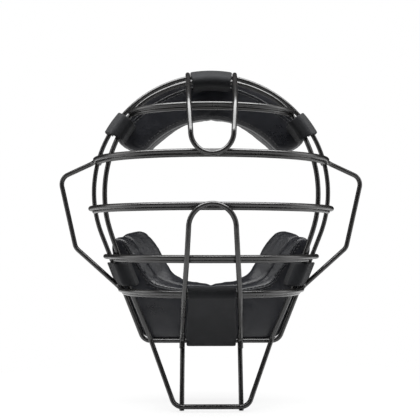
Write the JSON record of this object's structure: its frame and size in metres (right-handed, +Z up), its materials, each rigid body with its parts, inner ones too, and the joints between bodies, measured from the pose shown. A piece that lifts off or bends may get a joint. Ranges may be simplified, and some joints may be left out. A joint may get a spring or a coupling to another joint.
{
  "type": "umpire face mask",
  "caption": "Welded wire umpire mask with double rims, ear guards, throat guard, two padded cushions and hook-and-loop tabs.",
  "frame": {"origin": "centre of the head opening: the middle of the rear rim's height and width, in the plane of its wire centres", "axes": "+Z up towards the crown, +Y towards the wearer's head, -Y the front of the cage, +X the viewer's right"},
  "size_m": [0.2626, 0.1232, 0.2875],
  "materials": {
    "wire": "semi-gloss powder coat",
    "pad_panel": "smooth synthetic leather",
    "pad_cushion": "soft synthetic leather",
    "webbing": "matt woven webbing",
    "hook": "matt hook tape",
    "loop": "napped loop tape"
  },
  "bodies": {
    "mask": {"rear_rim": "wire", "front_rim": "wire", "forehead_bar": "wire", "forehead_backing": "wire", "brow_ear_mouth_loop": "wire", "brow_backing": "wire", "eye_bar": "wire", "eye_backing": "wire", "nose_bar": "wire", "nose_backing": "wire", "mouth_backing": "wire", "crown_loop": "wire", "nose_loop": "wire", "throat_post_l": "wire", "throat_post_r": "wire", "brow_pad_panel": "pad_panel", "brow_pad_cushion": "pad_cushion", "chin_pad_panel": "pad_panel", "chin_pad_cushion": "pad_cushion", "crown_tab": "webbing", "crown_loop_patch": "loop", "corner_tab_l": "webbing", "corner_loop_patch_l": "loop", "corner_tab_r": "webbing", "corner_loop_patch_r": "loop", "cheek_tab_l": "webbing", "cheek_loop_patch_l": "loop", "cheek_tab_r": "webbing", "cheek_loop_patch_r": "loop", "chin_tab": "webbing", "chin_loop_patch": "loop"},
    "crown_flap": {"crown_tongue": "webbing", "crown_hook": "hook"},
    "corner_flap_l": {"corner_tongue_l": "webbing", "corner_hook_l": "hook"},
    "corner_flap_r": {"corner_tongue_r": "webbing", "corner_hook_r": "hook"},
    "cheek_flap_l": {"cheek_tongue_l": "webbing", "cheek_hook_l": "hook"},
    "cheek_flap_r": {"cheek_tongue_r": "webbing", "cheek_hook_r": "hook"},
    "chin_flap": {"chin_tongue": "webbing", "chin_hook": "hook"}
  },
  "joints": [
    {"name": "crown_flap_fold", "type": "hinge", "parent": "mask", "child": "crown_flap", "pos_m": [0, 0.00375, 0.1189], "axis": [1, 0, 0], "range_deg": [0, 100]},
    {"name": "corner_flap_fold_r", "type": "hinge", "parent": "mask", "child": "corner_flap_r", "pos_m": [0.08649, 0.00375, 0.07389], "axis": [0.5738, 0, -0.819], "range_deg": [0, 100]},
    {"name": "corner_flap_fold_l", "type": "hinge", "parent": "mask", "child": "corner_flap_l", "pos_m": [-0.08649, 0.00375, 0.07389], "axis": [0.5738, 0, 0.819], "range_deg": [0, 100]},
    {"name": "cheek_flap_fold_r", "type": "hinge", "parent": "mask", "child": "cheek_flap_r", "pos_m": [0.08513, 0.00375, -0.05821], "axis": [-0.3714, 0, -0.9285], "range_deg": [0, 90]},
    {"name": "cheek_flap_fold_l", "type": "hinge", "parent": "mask", "child": "cheek_flap_l", "pos_m": [-0.08513, 0.00375, -0.05821], "axis": [-0.3714, 0, 0.9285], "range_deg": [0, 90]},
    {"name": "chin_flap_fold", "type": "hinge", "parent": "mask", "child": "chin_flap", "pos_m": [0, 0.00375, -0.1189], "axis": [-1, 0, 0], "range_deg": [0, 100]}
  ]
}
